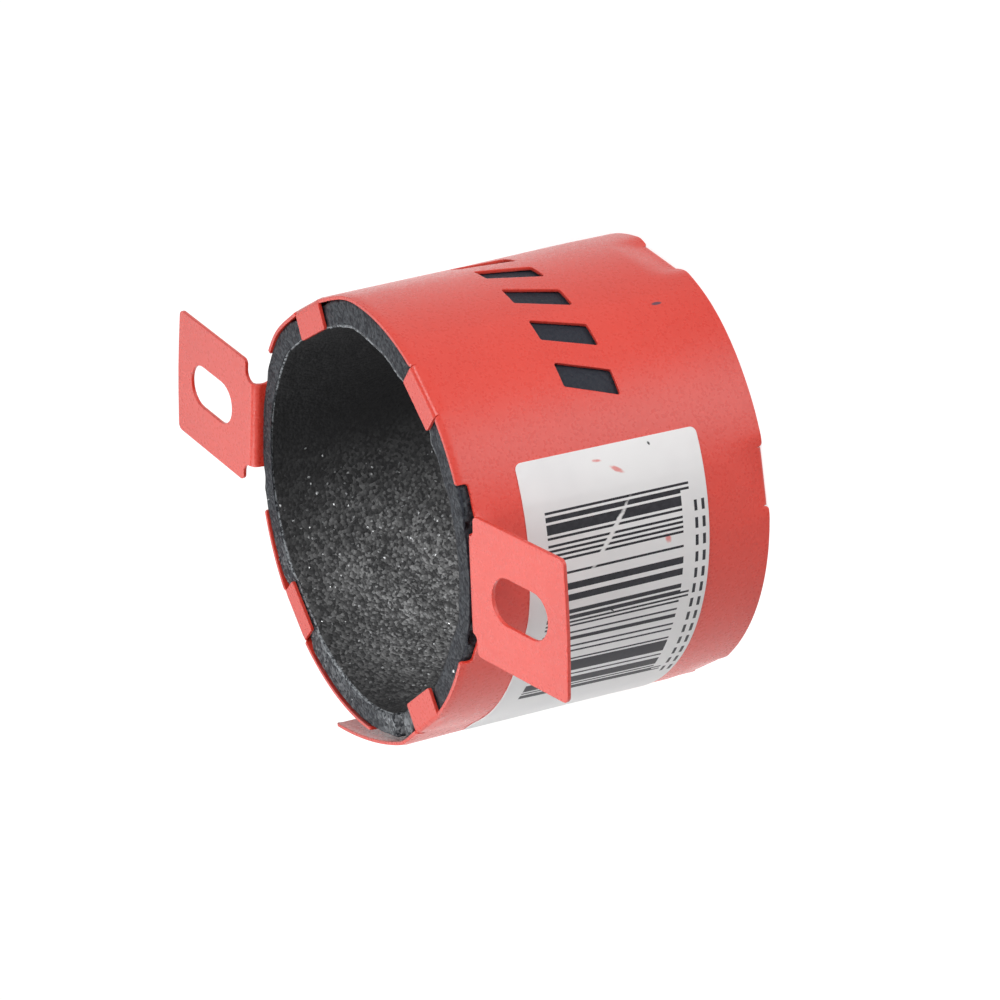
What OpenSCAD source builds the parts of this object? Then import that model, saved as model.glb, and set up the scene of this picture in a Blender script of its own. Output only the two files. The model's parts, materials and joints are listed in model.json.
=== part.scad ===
// Pipe fire collar: a rolled and folded sheet-steel sleeve that holds an intumescent liner round a pipe.
// Z runs along the pipe, +Z towards the end with the fixing ears. The origin is the centre of the bore
// at the liner's rear face. +Y points away from the lap seam. Angles are counted from +X towards +Y.

/* [Sleeve] */
// Outside diameter of the rolled sleeve
sleeve_d = 60; // [54:1:76]
// Length of the sleeve along the pipe, from rim to rim
sleeve_len = 44; // [40:1:60]
// Thickness of the steel sheet
sheet = 0.5; // [0.4:0.1:1]

/* [Lap seam] */
// Angle at which the outer lap leaves the round and runs on straight
lap_leaves = -73; // [-78:1:-66]
// Length of the straight tail of the outer lap
tail_len = 16.6; // [12:0.2:24]
// Room between the end of the inner lap and the tail
lap_gap = 0.2; // [0.1:0.05:0.5]

/* [Liner] */
// Thickness of the intumescent liner
liner_thick = 3.4; // [2.5:0.1:4]
// Room between the liner and the sheet round it
liner_gap = 0.1; // [0.05:0.05:0.2]
// Width of the open joint between the liner's two ends
liner_joint = 1.6; // [0.4:0.1:2.4]
// Angle from the place where the outer lap leaves the round to that joint
joint_turn = 3; // [0:0.5:6]

/* [Retaining tabs] */
// Width of a tab
tab_w = 7.6; // [6:0.2:10]
// Inside radius of a tab's fold
tab_bend = 0.2; // [0.1:0.1:0.8]
// How far a tab's tip stays outside the bore
tab_tip_gap = 0.1; // [0.05:0.05:0.5]
// Width of the relief slit on each side of a tab
slit_w = 0.3; // [0.2:0.1:1]
// Depth of the relief slits below the rim
slit_depth = 0.8; // [0.6:0.1:3]
// Angle between an ear and the front tab on the seam's side of it
tab_from_ear = 53.6; // [48:0.1:56]
// Angle between an ear and the front tab on its other side
upper_tab_from_ear = 51.7; // [48:0.1:56]
// Turn of the two tabs on that other side, towards the right ear
upper_tab_turn = 3; // [0:0.1:4]
// Number of tabs on the rear rim
rear_tabs = 5; // [3:1:5]
// Angle between neighbouring rear tabs
rear_tab_pitch = 69.5; // [60:0.5:70]
// Angle of the middle rear tab
rear_tab_mid = 15; // [10:1:20]

/* [Fixing ears] */
// Angle between the two ears, across the side away from the seam
ear_spread = 170; // [165:1:180]
// Width of an ear's plate
ear_w = 18.4; // [16:0.2:21]
// Length of an ear's plate, outwards from its inner edge
ear_len = 17.8; // [15:0.2:22]
// Length that the rounding takes from each edge at the plate's corners
ear_corner = 0.8; // [0.4:0.1:1.5]
// Width of the neck that carries the plate
neck_w = 12.6; // [10:0.2:14]
// Distance from the sleeve to the plate's inner edge
neck_out = 1.6; // [1.6:0.1:4]
// Straight rise of the right ear's neck above the notch, before its fold
right_rise = 1.1; // [0.3:0.05:2]
// Straight rise of the left ear's neck above the notch, before its fold
left_rise = 1.6; // [0.3:0.05:2]
// Radius of the relief in the corner between neck and plate
relief_r = 1.3; // [0.8:0.1:1.6]
// Inside radius of an ear's fold
ear_bend = 0.6; // [0.4:0.1:1]
// Lean of the right ear, away from the front
right_lean = 8.5; // [0:0.5:12]
// Lean of the left ear, towards the front
left_lean = 5.5; // [0:0.5:12]
// Width of the fixing slot
slot_w = 6.2; // [4.5:0.1:7]
// Length of the fixing slot, end to end
slot_len = 10.8; // [8:0.1:12]
// Distance from the plate's inner edge to the middle of the slot
slot_from_edge = 8.8; // [7.5:0.1:9.6]
// Width of the notch in the front rim at each ear
notch_w = 24.9; // [22:0.1:28]
// Depth of that notch below the rim
notch_depth = 1.6; // [1.2:0.1:2.5]

/* [Cut-outs] */
// Number of slanted cut-outs through the sleeve, opposite the seam
cut_count = 7; // [3:1:8]
// Angle between neighbouring cut-outs
cut_pitch = 14; // [12:0.5:16]
// Length of a cut-out along the pipe
cut_len = 7.2; // [5:0.1:10]
// Width of a cut-out round the sleeve
cut_w = 3.6; // [2:0.1:4.5]
// Slant of a cut-out, as the sideways step over its length
cut_slant = 2.6; // [0:0.1:4]
// Distance from the front rim to the middle of the row
cut_from_front = 22.2; // [18:0.1:26]

/* [Label] */
// Length of the paper label round the sleeve
label_l = 50; // [30:0.5:64]
// Height of the label along the pipe
label_h = 26.4; // [18:0.2:28]
// Thickness of the label
label_t = 0.12; // [0.1:0.02:0.3]
// Length that the rounding takes from each edge at the label's corners
label_corner = 1.6; // [1:0.1:3]
// Glue line between the label and the sleeve
label_glue = 0.02; // [0.01:0.01:0.05]
// Angle of the label's upper edge
label_from = 31.7; // [28:0.1:34]
// Distance from the front rim to the label
label_from_front = 8.3; // [7:0.1:12]

/* [Hidden] */
$fn = 96;

sleeve_r = sleeve_d / 2;
wall_r = sleeve_r - sheet;
liner_r = wall_r - liner_gap;
bore_r = liner_r - liner_thick;

// Heights: the rims stand past the liner by a tab's thickness and its clearance
rim_over = sheet + liner_gap;
rear_z = -rim_over;
front_z = rear_z + sleeve_len;
liner_len = sleeve_len - 2 * rim_over;

// The inner lap ends where the straight tail has risen clear of it
lap_open = acos(wall_r / (sleeve_r + lap_gap));
wall_arc = 360 - lap_open;

ear_right = 90 - ear_spread / 2;
ear_left = 90 + ear_spread / 2;
front_tab_angles = [ear_right - tab_from_ear, ear_left + tab_from_ear,
                    ear_right + upper_tab_from_ear - upper_tab_turn,
                    ear_left - upper_tab_from_ear - upper_tab_turn];
rear_tab_angles = [for (i = [0 : rear_tabs - 1]) rear_tab_mid + (i - (rear_tabs - 1) / 2) * rear_tab_pitch];

// A fold line is straight, so its strip lies flat, halfway between the round wall's middle and edges
function flat_r(width) = (sleeve_r + sqrt(sleeve_r * sleeve_r - width * width / 4)) / 2;
tab_r = flat_r(tab_w);
ear_r = flat_r(neck_w);
// How far a flat strip runs into the round wall below it
root_depth = 1.2;
// How far the relief's round end bites into the plate
relief_bite = 0.1;
// Flats that each fold's round is made of
fold_steps = 12;
// How far a cutting shape runs past the surface it cuts
past = 1;

// A flat outline in the XY plane stood up against the wall at an angle and a height, then pushed outwards
module on_wall(angle, z, r_from, r_to) {
    rotate([0, 0, angle]) translate([r_from, 0, z]) rotate([90, 0, 90])
        linear_extrude(r_to - r_from) children();
}

// Length round the outside of the sleeve that an angle covers, and the angle of such a length
function arc_length(angle) = angle * PI / 180 * sleeve_r;
function arc_angle(length) = length / sleeve_r * 180 / PI;

// Shapes drawn at angle 0, set at a length along the outside of the sheet, counted from the place where
// the tail leaves the round: negative lengths are on the straight tail
module along_sheet(length) {
    rotate([0, 0, lap_leaves + arc_angle(max(length, 0))]) translate([0, min(length, 0), 0]) children();
}

// The waste of a rounded corner: the corner is the origin, its edges run along +X and +Y, and the arc
// crosses each edge at the given distance
module corner_waste(reach) {
    arc_r = reach * 1.5;
    middle = (reach + sqrt(2 * arc_r * arc_r - reach * reach)) / 2;
    difference() {
        translate([-past, -past]) square(middle + past);
        translate([middle, middle]) circle(arc_r);
    }
}

// The waste of all four corners of a rectangle that starts at x = 0 and is centred on y = 0
module corners_waste(length, width, reach) {
    for (end = [0, 1], side = [0, 1]) translate([end * length, (side - 0.5) * width])
        mirror([end, 0]) mirror([0, side]) corner_waste(reach);
}

// Side view of a folded strip: straight up to the fold, round it, and flat again. The fold's axis is the
// origin, the strip rises on its left, and the flat runs to the right when the fold is a right angle
function turned(radius, angle) = radius * [-cos(angle), sin(angle)];
function fold_profile(bend, angle, rise, flat) =
    let (outer = bend + sheet,
         run = flat * [sin(angle), cos(angle)],
         turns = [for (i = [0 : fold_steps]) angle * i / fold_steps])
    concat([[-outer, -rise]], [for (turn = turns) turned(outer, turn)], [turned(outer, angle) + run],
           [turned(bend, angle) + run], [for (turn = turns) turned(bend, angle - turn)], [[-bend, -rise]]);

module folded_strip(bend, angle, rise, flat, width) {
    translate([0, width / 2, 0]) rotate([90, 0, 0]) linear_extrude(width)
        polygon(fold_profile(bend, angle, rise, flat));
}

// A retaining tab on the front rim, folded inwards over the liner's end face
module tab() {
    fold_r = tab_r - sheet - tab_bend;
    fold_z = front_z - sheet - tab_bend;
    rise = fold_z - front_z + slit_depth + root_depth;
    flat = fold_r - bore_r - tab_tip_gap;
    translate([fold_r, 0, fold_z]) mirror([1, 0, 0]) folded_strip(tab_bend, 90, rise, flat, tab_w);
}

// The tab's window in the rim, with its relief slits
module tab_window() {
    window_w = tab_w + 2 * slit_w;
    translate([0, -window_w / 2, front_z - slit_depth]) cube([sleeve_r + past, window_w, slit_depth + past]);
}

// The room that a tab and its fold take from the liner
module tab_room() {
    room_w = tab_w + 2 * liner_gap;
    room_z = front_z - slit_depth - root_depth - liner_gap;
    translate([tab_r - sheet - tab_bend - liner_gap, -room_w / 2, room_z])
        cube([sleeve_r, room_w, sleeve_len]);
}

// Shapes drawn for one place on the front rim, set at every tab of both rims
module at_tabs() {
    for (angle = front_tab_angles) rotate([0, 0, angle]) children();
    translate([0, 0, front_z + rear_z]) mirror([0, 0, 1])
        for (angle = rear_tab_angles) rotate([0, 0, angle]) children();
}

// The fixing slot, drawn along X and centred on the origin
module slot_outline() {
    straight = slot_len - slot_w;
    for (end = [-1, 1]) translate([end * straight / 2, 0]) circle(slot_w / 2);
    square([straight, slot_w], center = true);
}

// What is cut away beside the neck, with a round end in the corner under the plate, whose edge is at x = 0
module neck_relief() {
    for (side = [0, 1]) mirror([0, side]) translate([0, neck_w / 2]) {
        translate([-ear_len, relief_r]) square([ear_len, ear_w]);
        translate([-ear_len, 0]) square([ear_len - relief_r, ear_w]);
        translate([-relief_r, relief_r]) circle(relief_r + relief_bite);
    }
}

// A fixing ear, folded outwards through a right angle less its forward lean; its outline is cut square to it
module ear(angle, forward_lean, rise) {
    neck_flat = sleeve_r + neck_out - ear_r - ear_bend;
    rotate([0, 0, angle]) translate([ear_r + ear_bend, 0, front_z - notch_depth + rise]) difference() {
        folded_strip(ear_bend, 90 - forward_lean, rise + root_depth, neck_flat + ear_len, ear_w);
        rotate([0, -forward_lean, 0]) translate([neck_flat, 0, -ear_len]) linear_extrude(2 * ear_len) {
            translate([slot_from_edge, 0]) slot_outline();
            corners_waste(ear_len, ear_w, ear_corner);
            neck_relief();
        }
    }
}

module ear_notch() {
    translate([0, -notch_w / 2, front_z - notch_depth]) cube([sleeve_r + past, notch_w, notch_depth + past]);
}

module ear_room() {
    room_w = neck_w + 2 * liner_gap;
    room_z = front_z - notch_depth - root_depth - liner_gap;
    translate([ear_r - sheet - liner_gap, -room_w / 2, room_z]) cube([sleeve_r, room_w, sleeve_len]);
}

// The sheet rolled round, from the outer lap's end of the round to the inner lap's edge
module rolled_wall() {
    rotate([0, 0, lap_leaves]) {
        rotate_extrude(angle = wall_arc) translate([wall_r, rear_z]) square([sheet, sleeve_len]);
        translate([wall_r, -tail_len, rear_z]) cube([sheet, tail_len, sleeve_len]);
    }
}

module cut_outs() {
    first = 90 - (cut_count - 1) / 2 * cut_pitch;
    for (i = [0 : cut_count - 1])
        on_wall(first + i * cut_pitch, front_z - cut_from_front, wall_r - past, sleeve_r + past)
            polygon([[-cut_w - cut_slant, -cut_len] / 2, [cut_w - cut_slant, -cut_len] / 2,
                     [cut_w + cut_slant, cut_len] / 2, [cut_slant - cut_w, cut_len] / 2]);
}

module sleeve() {
    color("#d8433f") {
        difference() {
            rolled_wall();
            at_tabs() tab_window();
            for (angle = [ear_right, ear_left]) rotate([0, 0, angle]) ear_notch();
            cut_outs();
        }
        at_tabs() tab();
        ear(ear_right, -right_lean, right_rise);
        ear(ear_left, left_lean, left_rise);
    }
}

module liner() {
    color("#2b2d2f") difference() {
        cylinder(r = liner_r, h = liner_len);
        translate([0, 0, -past]) cylinder(r = bore_r, h = liner_len + 2 * past);
        rotate([0, 0, lap_leaves + joint_turn]) translate([0, -liner_joint / 2, -past])
            cube([sleeve_r, liner_joint, liner_len + 2 * past]);
        at_tabs() tab_room();
        for (angle = [ear_right, ear_left]) rotate([0, 0, angle]) ear_room();
    }
}

module label() {
    inner_r = sleeve_r + label_glue;
    low_z = front_z - label_from_front - label_h;
    upper = arc_length(label_from - lap_leaves);
    lower = upper - label_l;
    color("#e4e4e2") difference() {
        union() {
            along_sheet(max(lower, 0)) rotate_extrude(angle = arc_angle(upper - max(lower, 0)))
                translate([inner_r, low_z]) square([label_t, label_h]);
            if (lower < 0)
                along_sheet(lower) translate([inner_r, 0, low_z]) cube([label_t, -lower, label_h]);
        }
        for (edge = [0, 1], end = [0, 1]) along_sheet(upper - edge * label_l)
            on_wall(0, low_z + end * label_h, inner_r - past, inner_r + label_t + past)
                mirror([1 - edge, 0]) mirror([0, end]) corner_waste(label_corner);
    }
}

sleeve();
liner();
label();
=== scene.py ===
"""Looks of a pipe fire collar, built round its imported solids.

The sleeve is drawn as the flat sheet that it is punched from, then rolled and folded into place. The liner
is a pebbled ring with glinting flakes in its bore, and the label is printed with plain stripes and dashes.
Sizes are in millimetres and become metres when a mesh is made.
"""
import json
import math

import bpy
import numpy as np
from mathutils import Matrix, Vector, kdtree
from mathutils.geometry import delaunay_2d_cdt


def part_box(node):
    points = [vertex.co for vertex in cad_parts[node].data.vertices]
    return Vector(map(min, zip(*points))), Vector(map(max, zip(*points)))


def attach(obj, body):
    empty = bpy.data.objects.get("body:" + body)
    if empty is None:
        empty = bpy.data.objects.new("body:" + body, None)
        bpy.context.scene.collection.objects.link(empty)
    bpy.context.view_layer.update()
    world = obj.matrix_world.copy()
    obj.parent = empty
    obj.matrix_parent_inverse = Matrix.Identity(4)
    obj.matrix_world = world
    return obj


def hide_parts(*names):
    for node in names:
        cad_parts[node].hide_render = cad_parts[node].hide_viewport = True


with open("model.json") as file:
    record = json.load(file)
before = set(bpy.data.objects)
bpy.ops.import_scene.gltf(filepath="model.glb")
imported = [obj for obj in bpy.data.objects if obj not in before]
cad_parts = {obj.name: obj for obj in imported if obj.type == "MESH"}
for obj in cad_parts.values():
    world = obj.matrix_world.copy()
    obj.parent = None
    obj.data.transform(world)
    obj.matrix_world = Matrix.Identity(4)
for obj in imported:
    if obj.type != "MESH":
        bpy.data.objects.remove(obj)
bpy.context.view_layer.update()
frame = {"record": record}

MM = 0.001

# Sizes that the solids give
REAR_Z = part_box("sleeve")[0].z / MM
LINER_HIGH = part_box("liner")[1] / MM
LABEL_LOW, LABEL_HIGH = (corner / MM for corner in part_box("label"))
BORE_R = next(m for m in frame["record"]["mounts"] if m["name"] == "pipe_bore")["dims"]["r_mm"]
SLEEVE_R = 30.0
LINER_R = LINER_HIGH.y
LINER_TOP = LINER_HIGH.z

# Sheet and lap seam
SLEEVE_LEN = 44.0
FRONT_Z = REAR_Z + SLEEVE_LEN
SHEET = 0.5
EDGE_R = 0.08
LAP_ANGLE = math.radians(-73)
TAIL_LEN = 16.6
LAP_GAP = 0.2
WALL_ARC = 2 * math.pi - math.acos((SLEEVE_R - SHEET) / (SLEEVE_R + LAP_GAP))
WALL_END = WALL_ARC * SLEEVE_R

# Retaining tabs: the front ones by angle and by how much longer they are, the rear ones by angle. Behind its
# slits a tab flattens over TAB_ROOT
TAB_W = 7.6
TAB_BEND = 0.2
TAB_TIP_GAP = 0.1
TAB_ROOT = 1.2
SLIT_W = 0.06
SLIT_DEPTH = 0.74
FRONT_TABS = ((53.7, 0.0), (-49.8, 0.5), (120.3, 0.45), (228.6, 0.0))
REAR_TABS = (-54.5, 15, 84.5, 154, 236)

# Fixing ears: angle, lean towards the front, rise of the neck above its notch, distance from the sleeve to
# the plate, and how far the plate slants aside over its length
EARS = ((5.0, -8.5, 0.5, 0.7, -1.2), (175.0, 5.5, 1.6, 1.6, -0.5))
EAR_W = 18.4
EAR_LEN = 17.8
EAR_CROWN = 0.4
EAR_BEND = 0.6
NECK_W = 12.6
NECK_ROOT = 3.0
RELIEF_R = 1.4
FOOT_R = 1.2
SLOT_W = 6.2
SLOT_LEN = 10.8
SLOT_FROM_EDGE = 8.8
NOTCH_W = 24.9
NOTCH_DEPTH = 1.6

# Length over which the wall beside a neck or a rear tab eases into it, and how far beside a strip the wall is
# worked out with that strip
EASE = 2.5
STRIP_MARGIN = 4

# Share of half a width that the corners of a round end take
ROUND_END = 0.95

# Row of slanted cut-outs
CUT_COUNT = 7
CUT_PITCH = 14
CUT_LEN = 7.2
CUT_W = 3.6
CUT_SLANT = 2.6
CUT_CORNER = 0.3
CUT_Z = FRONT_Z - 22.2

# Label: the angle of its upper edge, and lengths along the sheet
LABEL_FROM = 30.9
LABEL_L = 50.0
LABEL_T = 0.12
LABEL_GLUE = 0.02
LABEL_CORNER = 0.9

# Joint between the liner's two ends
JOINT_ANGLE = LAP_ANGLE + math.radians(3)
JOINT_OPEN = 0.7

# Where the soft ring is thicker or thinner than its solid, in rows like those of the pulls below, and how far
# its face rises between the tabs
SWELLS = ((15, 65, 80, 140, 0.75), (150, 172, 188, 212, -0.4), (208, 238, 252, 282, 0.5))
FACE_RISE = 0.35

# Where the folding of a tab has pulled the front end inwards: the angles between which the pull grows to its
# depth, those between which it fades, and the depth. Each pull fades along the pipe down to PULL_FROM
PULLS = ((-69, -56, -20, -6, 1.0), (92, 112, 128, 146, 1.0))
PULL_FROM = 6.0

# Where the rear end is pushed outwards beside a tab, in the same way, fading along the pipe up to PUSH_TO,
# and how deep and how long the dents are in which the rear tabs lie
REAR_PUSHES = ((35, 66, 104, 130, 0.5),)
PUSH_TO = 22.0
REAR_TAB_DENT = 0.2
REAR_DENT_LEN = 6.0

# How sharply pulls and pushes fade along the pipe
FADE = 1.2

# How far the front end is pushed outwards where the tail leaves the round, the angle at which this starts,
# and the outward slope that the tail goes on with
LAP_PUSH = 0.55
PUSH_FROM = math.radians(-52)
TAIL_SLOPE = 0.1

# The last stretch of the front rim leans inwards
LIP_LEN = 0.9
LIP_DEPTH = 0.14

# Dark scratch in the coat, near the rear rim and beside the cut-outs: where it is, and half its sizes
SCRATCH_ANGLE = math.radians(64.7)
SCRATCH_Z = 6.7
SCRATCH_HALF = (0.3, 0.3, 0.9)

SEED = 7


def way_of(angle):
    """Length along the outside of the sheet, from the place where the tail leaves the round, to an angle."""
    return SLEEVE_R * (math.radians(angle) - LAP_ANGLE)


def smooth(x):
    """Rises smoothly from 0 to 1 as x does."""
    x = np.clip(x, 0.0, 1.0)
    return x * x * (3 - 2 * x)


def humps(turn, rows):
    """Sum of humps over an angle in degrees. Each row tells where its hump grows, is grown, fades and is
    gone, and its depth."""
    total = np.zeros_like(turn)
    for grows, grown, fades, gone, depth in rows:
        growing = smooth((turn - grows) / (grown - grows))
        fading = smooth((gone - turn) / (gone - fades))
        total = total + depth * growing * fading
    return total


def forward(height):
    """0 at PULL_FROM and behind it, growing to 1 at the front rim."""
    return np.clip((height - PULL_FROM) / (FRONT_Z - PULL_FROM), 0, 1) ** FADE


def backward(height):
    """0 at PUSH_TO and in front of it, growing to 1 at the rear rim."""
    return np.clip((PUSH_TO - height) / (PUSH_TO - REAR_Z), 0, 1) ** FADE


def pull_of(angle, height):
    """How far the wall is pulled inwards at an angle in radians and a height."""
    return humps((np.degrees(angle) + 180) % 360 - 180, PULLS) * forward(height)


def wall_in(angle, height):
    """How far the rolled wall lies inside its true round: its pulls, and the lip at the front rim, less the
    pushes at the lap and at the rear."""
    slack = 1e-3
    turn = (angle + math.pi) % (2 * math.pi) - math.pi
    to_lap = np.clip((PUSH_FROM - turn) / (PUSH_FROM - LAP_ANGLE), 0, 1)
    push = LAP_PUSH * to_lap ** 2 * (turn > LAP_ANGLE - slack)
    lip = LIP_DEPTH * smooth((height - FRONT_Z) / LIP_LEN + 1)
    rear = humps(np.degrees(turn), REAR_PUSHES) * backward(height)
    return pull_of(angle, height) + lip - push * forward(height) - rear


def tail_bow(way, height):
    """How far the tail stands out beside its straight line, which it meets again at its tip."""
    along = np.maximum(-way, 0)
    sag = (LAP_PUSH + TAIL_SLOPE * TAIL_LEN) / TAIL_LEN ** 2
    return (TAIL_SLOPE * along - sag * along ** 2) * forward(height)


def grain(points, size, seed):
    """Smooth random numbers from 0 to 1 in space, with lumps of about the size."""
    cells = np.floor(points / size).astype(np.int64)
    parts = smooth(points / size - cells)
    total = np.zeros(len(points))
    for corner in np.ndindex(2, 2, 2):
        x, y, z = (cells + corner).T
        mixed = (x * 374761393 + y * 668265263 + z * 1440662683 + seed * 1013904223) & 0xFFFFFFFF
        mixed = ((mixed ^ (mixed >> 13)) * 1274126177) & 0xFFFFFFFF
        mixed = ((mixed ^ (mixed >> 16)) * 374761393) & 0xFFFFFFFF
        share = np.prod(np.where(corner, parts, 1 - parts), 1)
        total += share * mixed / 0xFFFFFFFF
    return total


def flat_r(width):
    """Radius of the outside of a flat strip that is as wide as given and grows out of the round wall."""
    return (SLEEVE_R + math.sqrt(SLEEVE_R ** 2 - width ** 2 / 4)) / 2


def add_object(name, data):
    """A new object in the scene."""
    made = bpy.data.objects.new(name, data)
    bpy.context.scene.collection.objects.link(made)
    return made


# Outlines on the flat sheet

def rounded(corners):
    """Closed outline whose corners (x, y, radius) are turned into arcs."""
    arc_step = math.radians(15)
    points = []
    for i, (x, y, radius) in enumerate(corners):
        here = np.array((x, y), float)
        back = np.array(corners[i - 1][:2], float) - here
        ahead = np.array(corners[(i + 1) % len(corners)][:2], float) - here
        back /= np.linalg.norm(back)
        ahead /= np.linalg.norm(ahead)
        half = math.acos(np.clip(back @ ahead, -1, 1)) / 2
        middle = here + (back + ahead) / np.linalg.norm(back + ahead) * radius / math.sin(half)
        start = here + back * radius / math.tan(half) - middle
        end = here + ahead * radius / math.tan(half) - middle
        turn = math.atan2(start[0] * end[1] - start[1] * end[0], start @ end)
        steps = max(2, math.ceil(abs(turn) / arc_step))
        from_angle = math.atan2(start[1], start[0])
        for k in range(steps + 1):
            angle = from_angle + turn * k / steps
            points.append(middle + radius * np.array((math.cos(angle), math.sin(angle))))
    return np.array(points)


def spaced(points, step):
    """The closed outline with its long edges cut into pieces of at most the step."""
    out = []
    for here, there in zip(points, np.roll(points, -1, 0)):
        count = max(1, math.ceil(np.linalg.norm(there - here) / step))
        out.extend(here + (there - here) * k / count for k in range(count))
    return np.array(out)


def inset(points, distance):
    """The closed outline moved to its left by a distance."""
    before = points - np.roll(points, 1, 0)
    after = np.roll(points, -1, 0) - points
    before /= np.linalg.norm(before, axis=1)[:, None]
    after /= np.linalg.norm(after, axis=1)[:, None]
    left_before = np.stack((-before[:, 1], before[:, 0]), 1)
    left_after = np.stack((-after[:, 1], after[:, 0]), 1)
    mitre = (left_before + left_after) / (1 + np.sum(left_before * left_after, 1))[:, None]
    return points + distance * mitre


def inside(points, loops):
    """Which points lie inside the outlines, holes taken off."""
    found = np.zeros(len(points), bool)
    for loop in loops:
        for (x0, y0), (x1, y1) in zip(loop, np.roll(loop, -1, 0)):
            if y0 == y1:
                continue
            spans = (points[:, 1] < y0) != (points[:, 1] < y1)
            found ^= spans & (points[:, 0] < x0 + (points[:, 1] - y0) * (x1 - x0) / (y1 - y0))
    return found


def triangles_of(loops, extra, room):
    """Points and triangles that fill the outlines. The loops come first and in order, then those of the
    extra points that keep some room from the loops."""
    merge_distance = 1e-7
    rim = np.concatenate(loops)
    tree = kdtree.KDTree(len(rim))
    for i, (x, y) in enumerate(rim):
        tree.insert((x, y, 0), i)
    tree.balance()
    kept = extra[inside(extra, loops)]
    kept = np.array([p for p in kept if tree.find((p[0], p[1], 0))[2] > room])
    points = np.concatenate((rim, kept))
    edges = []
    start = 0
    for loop in loops:
        edges += [(start + i, start + (i + 1) % len(loop)) for i in range(len(loop))]
        start += len(loop)
    made = delaunay_2d_cdt([Vector(p) for p in points], edges, [], 0, merge_distance)
    assert len(made[0]) == len(points), "the outlines cross"
    source = np.array([origin[0] for origin in made[3]])
    triangles = source[np.array(made[2])]
    centres = points[triangles].mean(1)
    triangles = triangles[inside(centres, loops)]
    a, b, c = (points[triangles[:, k]] for k in range(3))
    turn = (b[:, 0] - a[:, 0]) * (c[:, 1] - a[:, 1]) - (b[:, 1] - a[:, 1]) * (c[:, 0] - a[:, 0])
    triangles[turn < 0] = triangles[turn < 0][:, ::-1]
    return points, triangles


def sheet_mesh(name, loops, extra, shape, thickness, edge_r):
    """A closed piece of punched sheet with rounded edges. shape(points, depth) places points of the flat
    sheet, at a depth under its upper side. Outlines run anticlockwise, and holes clockwise."""
    support = 0.15
    room = support * 0.8
    flat_loops = [inset(loop, edge_r) for loop in loops]
    extra = np.concatenate([extra] + [inset(loop, edge_r + support) for loop in loops])
    points, triangles = triangles_of(flat_loops, extra, room)
    count = len(points)
    places = [shape(points, np.zeros(count)), shape(points, np.full(count, thickness))]
    faces = [tuple(t) for t in triangles] + [tuple(t[::-1] + count) for t in triangles]
    rim_share = [np.zeros(2 * count)]
    depth_share = [np.zeros(count), np.ones(count)]
    arc = [math.radians(a) for a in (22.5, 45, 67.5, 90)]
    profile = [(edge_r * (1 - math.sin(a)), edge_r * (1 - math.cos(a))) for a in arc]
    profile += [(side, thickness - depth) for side, depth in reversed(profile)]
    total = 2 * count
    start = 0
    for loop in loops:
        size = len(loop)
        rows = [np.arange(start, start + size)]
        for side, depth in profile:
            places.append(shape(inset(loop, side), np.full(size, depth)))
            rim_share.append(np.ones(size))
            depth_share.append(np.full(size, depth / thickness))
            rows.append(np.arange(total, total + size))
            total += size
        rows.append(np.arange(start, start + size) + count)
        for upper, lower in zip(rows, rows[1:]):
            band = np.stack((upper, lower, np.roll(lower, -1), np.roll(upper, -1)), 1)
            faces += [tuple(f) for f in band]
        start += size
    mesh = bpy.data.meshes.new(name)
    mesh.from_pydata((np.concatenate(places) * MM).tolist(), [], [tuple(map(int, f)) for f in faces])
    keep_values(mesh, "rim", np.concatenate(rim_share))
    keep_values(mesh, "depth", np.concatenate(depth_share))
    mesh.shade_smooth()
    return add_object(name, mesh)


def keep_values(mesh, name, values):
    """Stores one number for each vertex, for the materials to read."""
    attribute = mesh.attributes.new(name, "FLOAT", "POINT")
    attribute.data.foreach_set("value", np.asarray(values, np.float32))


def places_in(mesh):
    """The mesh's points as rows of x, y and z, in metres."""
    places = np.zeros(len(mesh.vertices) * 3, np.float32)
    mesh.vertices.foreach_get("co", places)
    return places.reshape(-1, 3)


# The sleeve's sheet

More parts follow.
